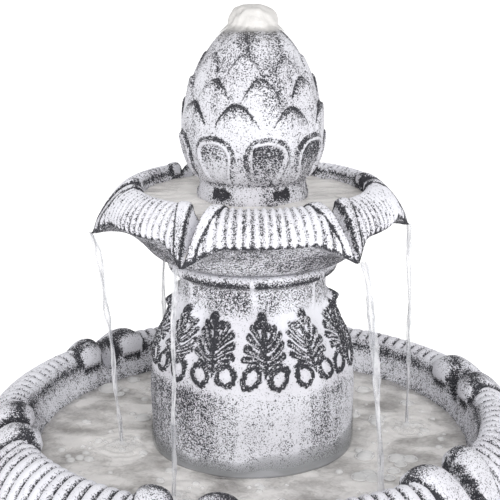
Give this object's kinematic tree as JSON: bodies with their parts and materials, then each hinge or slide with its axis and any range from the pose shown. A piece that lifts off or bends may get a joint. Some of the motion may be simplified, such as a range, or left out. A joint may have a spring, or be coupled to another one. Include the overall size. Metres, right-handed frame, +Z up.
{
  "type": "tiered water fountain",
  "caption": "Two-tier garden fountain with ribbed bowls, leaf spouts, relief column, scaled finial and submersible pump.",
  "frame": {"origin": "on the ground under the centre of the fountain", "axes": "+Z up along the axis of the tiers, -Y towards the front, +X to the right as seen from the front"},
  "size_m": [0.625, 0.6304, 0.9355],
  "materials": {
    "casting": "cast resin, charcoal with a dry-brushed white wash",
    "pad": "matt black rubber",
    "gasket": "soft rubber",
    "steel": "stainless steel",
    "pump_plastic": "moulded black plastic",
    "dial_plastic": "moulded blue plastic",
    "foam": "open-cell filter foam",
    "tube": "clear flexible tube",
    "brass": "brass",
    "copper": null,
    "magnet": "sintered ferrite",
    "shaft": "polished ceramic",
    "water": "aerated water, seen only in the visual model"
  },
  "bodies": {
    "base": {"base_plinth": "casting", "plinth_pads": "pad", "pedestal": "casting", "plinth_screws": "steel", "lower_bowl": "casting", "basin_gasket": "gasket", "bowl_bolts": "steel", "bowl_bolt_washers": "steel", "bowl_wing_nuts": "steel", "cord_grommet": "gasket", "pump_housing": "pump_plastic", "pump_back_plate": "pump_plastic", "cable_gland": "pump_plastic", "stator_core": "steel", "stator_coil": "copper", "pump_shaft": "shaft", "shaft_bushes": "gasket", "volute_cover": "pump_plastic", "pump_screws": "steel", "suction_feet": "pad", "riser_tube": "tube", "riser_clamp": "steel", "nozzle": "brass"},
    "rotor": {"rotor_magnet": "magnet", "impeller": "pump_plastic"},
    "intake": {"intake_cover": "pump_plastic", "filter_foam": "foam"},
    "dial": {"flow_dial": "dial_plastic"},
    "drain": {"drain_plug": "gasket"},
    "column_tier": {"column": "casting"},
    "bowl_tier": {"upper_bowl": "casting", "standpipe": "pump_plastic", "standpipe_gasket": "gasket", "standpipe_nut": "pump_plastic"},
    "finial_tier": {"finial": "casting"}
  },
  "joints": [
    {"name": "rotor_spin", "type": "hinge", "parent": "base", "child": "rotor", "pos_m": [0, 0.02, 0.4745], "axis": [0, 1, 0], "continuous": true},
    {"name": "intake_cover_slide", "type": "slide", "parent": "base", "child": "intake", "axis": [0, -1, 0], "range_m": [0, 0.03]},
    {"name": "flow_dial_turn", "type": "hinge", "parent": "intake", "child": "dial", "pos_m": [0, -0.0436, 0.4745], "axis": [0, -1, 0], "range_deg": [-60, 60]},
    {"name": "drain_plug_pull", "type": "slide", "parent": "base", "child": "drain", "axis": [0, 0, 1], "range_m": [0, 0.03]},
    {"name": "column_lift", "type": "slide", "parent": "base", "child": "column_tier", "axis": [0, 0, 1], "range_m": [0, 0.2]},
    {"name": "upper_bowl_lift", "type": "slide", "parent": "column_tier", "child": "bowl_tier", "axis": [0, 0, 1], "range_m": [0, 0.2]},
    {"name": "finial_lift", "type": "slide", "parent": "bowl_tier", "child": "finial_tier", "axis": [0, 0, 1], "range_m": [0, 0.25]}
  ]
}
